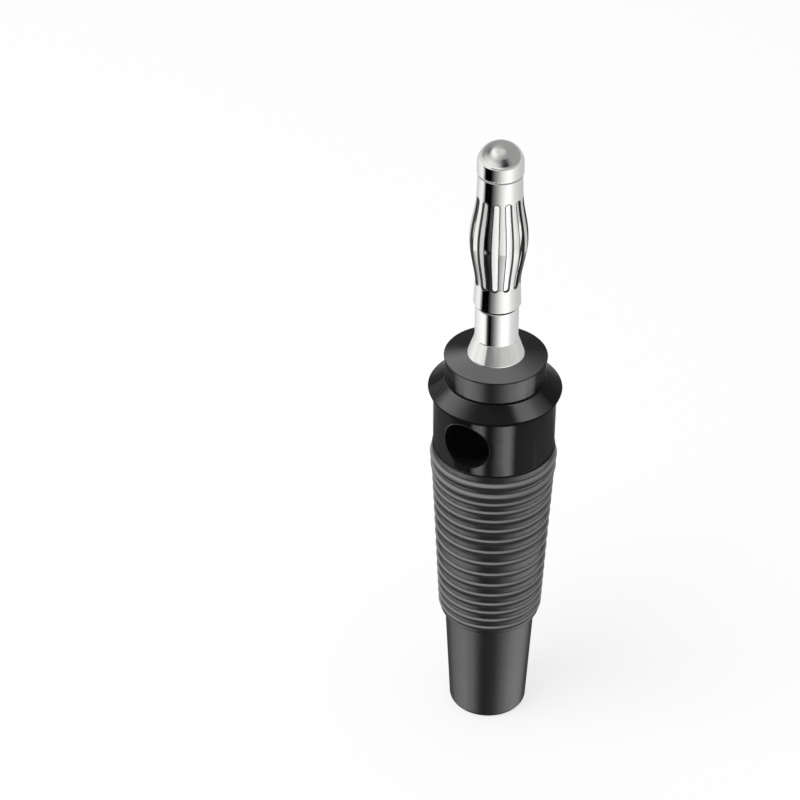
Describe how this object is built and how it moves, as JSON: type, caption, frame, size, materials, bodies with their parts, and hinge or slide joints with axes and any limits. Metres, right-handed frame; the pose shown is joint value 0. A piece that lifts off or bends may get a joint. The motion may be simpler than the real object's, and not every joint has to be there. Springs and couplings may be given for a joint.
{
  "type": "banana plug",
  "caption": "Spring-cage banana plug with a bulged slotted cage on a turned pin, a flanged black head with a cross hole for stacking, and a ribbed soft grip with a cable hole.",
  "frame": {"origin": "centre of the open tail end, which the plug stands on", "axes": "+Z along the plug towards the tip, Y along the cross hole, label window on the +Y side"},
  "size_m": [0.0114, 0.0114, 0.0583],
  "materials": {
    "soft_grip": "satin soft moulding",
    "hard_insulation": "glossy hard moulding",
    "plated_pin": "bright nickel plate on turned brass",
    "plated_spring": "bright nickel plate on spring sheet",
    "screw_steel": "zinc plated steel"
  },
  "bodies": {
    "sleeve": {"grip_sleeve": "soft_grip"},
    "plug": {"insulating_head": "hard_insulation", "contact_pin": "plated_pin"},
    "cage": {"lantern_spring": "plated_spring"},
    "screw": {"clamp_screw": "screw_steel"}
  },
  "joints": [
    {"name": "sleeve_pull", "type": "slide", "parent": "sleeve", "child": "plug", "axis": [0, 0, 1], "range_m": [0, 0.014]},
    {"name": "cage_turn", "type": "hinge", "parent": "plug", "child": "cage", "pos_m": [0, 0, 0.04944], "axis": [0, 0, 1], "continuous": true},
    {"name": "screw_advance", "type": "slide", "parent": "plug", "child": "screw", "axis": [0, 1, 0], "range_m": [0, 0.001]}
  ]
}
